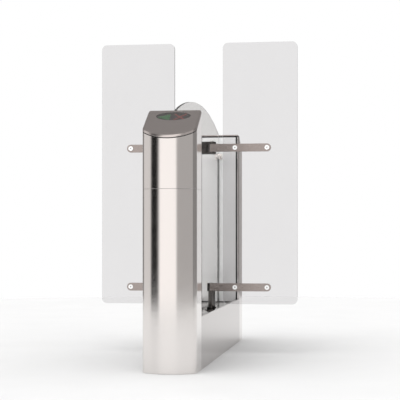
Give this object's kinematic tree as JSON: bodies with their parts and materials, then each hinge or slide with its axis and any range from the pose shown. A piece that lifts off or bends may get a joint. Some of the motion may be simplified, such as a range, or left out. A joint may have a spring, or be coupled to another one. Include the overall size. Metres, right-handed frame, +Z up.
{
  "type": "visitor counter turnstile",
  "caption": "Centre stanchion of a swing-wing counting gate: D-plan stainless pylons, low plinth, arched glass screen and tall glass wings on driven pivots.",
  "frame": {"origin": "on the floor, at the centre of the stanchion between the two pylons", "axes": "+X across the lanes to the right wing, +Y along the lanes from the front pylon to the rear one, +Z up"},
  "size_m": [0.86, 1.4, 1.348],
  "materials": {
    "brushed_stainless": "brushed stainless sheet",
    "polished_stainless": "polished stainless",
    "bright_stainless": "bright polished",
    "cover_stainless": "soft polished sheet",
    "arm_stainless": "dark satin stainless bar",
    "cap_stainless": "satin stainless plate",
    "black_metal": "satin black",
    "black_rubber": "matt",
    "wing_glass": "clear toughened glass",
    "screen_glass": "clear toughened glass",
    "smoked_glass": "dark tinted",
    "green_led": "lit green",
    "red_led": "lit red",
    "circuit_board": "green laminate",
    "frame_steel": "grey primer",
    "galvanised": "zinc",
    "machined_steel": "turned and ground",
    "motor_black": "semi-gloss",
    "aluminium": "anodised",
    "sensor_blue": "moulded"
  },
  "bodies": {
    "base": {"arrow_leds": "green_led", "bearing_housings": "aluminium", "cap_gaskets": "black_rubber", "central_glass": "screen_glass", "clamp_bolts": "polished_stainless", "controller_board": "circuit_board", "count_sensors": "sensor_blue", "cover_gaskets": "black_rubber", "cross_leds": "red_led", "drive_deck": "frame_steel", "floor_plate": "galvanised", "front_cap_panel": "cap_stainless", "front_cap_rim": "cap_stainless", "front_frame": "frame_steel", "front_inner_cover": "cover_stainless", "front_lower_shell": "brushed_stainless", "front_upper_hood": "brushed_stainless", "glass_channel": "black_metal", "glass_clamps": "polished_stainless", "glass_edge_seals": "black_rubber", "indicator_boards": "circuit_board", "indicator_windows": "smoked_glass", "left_gearmotor": "motor_black", "left_pivot_bracket": "black_metal", "left_side_panel": "brushed_stainless", "pivot_pins": "machined_steel", "plinth_tray": "brushed_stainless", "power_supply": "aluminium", "rear_cap_panel": "cap_stainless", "rear_cap_rim": "cap_stainless", "rear_frame": "frame_steel", "rear_inner_cover": "cover_stainless", "rear_lower_shell": "brushed_stainless", "rear_upper_hood": "brushed_stainless", "right_gearmotor": "motor_black", "right_pivot_bracket": "black_metal", "right_side_panel": "brushed_stainless", "shaft_bearings": "machined_steel", "shaft_collars": "black_metal", "stop_buffers": "black_rubber"},
    "right_wing": {"right_wing_glass": "wing_glass", "right_upper_arm": "arm_stainless", "right_lower_arm": "arm_stainless", "right_arm_pads": "black_rubber", "right_disc_screws": "bright_stainless", "right_upper_hub": "black_metal", "right_lower_hub": "black_metal", "right_wing_shaft": "machined_steel", "right_drive_gear": "machined_steel"},
    "left_wing": {"left_wing_glass": "wing_glass", "left_upper_arm": "arm_stainless", "left_lower_arm": "arm_stainless", "left_arm_pads": "black_rubber", "left_disc_screws": "bright_stainless", "left_upper_hub": "black_metal", "left_lower_hub": "black_metal", "left_wing_shaft": "machined_steel", "left_drive_gear": "machined_steel"},
    "right_pinion": {"right_motor_pinion": "machined_steel"},
    "left_pinion": {"left_motor_pinion": "machined_steel"}
  },
  "joints": [
    {"name": "right_wing_swing", "type": "hinge", "parent": "base", "child": "right_wing", "pos_m": [0.056, 0, 0.5], "axis": [0, 0, 1], "range_deg": [-90, 90]},
    {"name": "right_pinion_spin", "type": "hinge", "parent": "base", "child": "right_pinion", "pos_m": [0.056, -0.06, 0.035], "axis": [0, 0, 1], "range_deg": [-210, 210]},
    {"name": "left_wing_swing", "type": "hinge", "parent": "base", "child": "left_wing", "pos_m": [-0.056, 0, 0.5], "axis": [0, 0, 1], "range_deg": [-90, 90]},
    {"name": "left_pinion_spin", "type": "hinge", "parent": "base", "child": "left_pinion", "pos_m": [-0.056, -0.06, 0.035], "axis": [0, 0, 1], "range_deg": [-210, 210]}
  ],
  "couplings": [
    {"joint": "right_pinion_spin", "follows": "right_wing_swing", "ratio": -2.3333},
    {"joint": "left_pinion_spin", "follows": "left_wing_swing", "ratio": -2.3333}
  ]
}
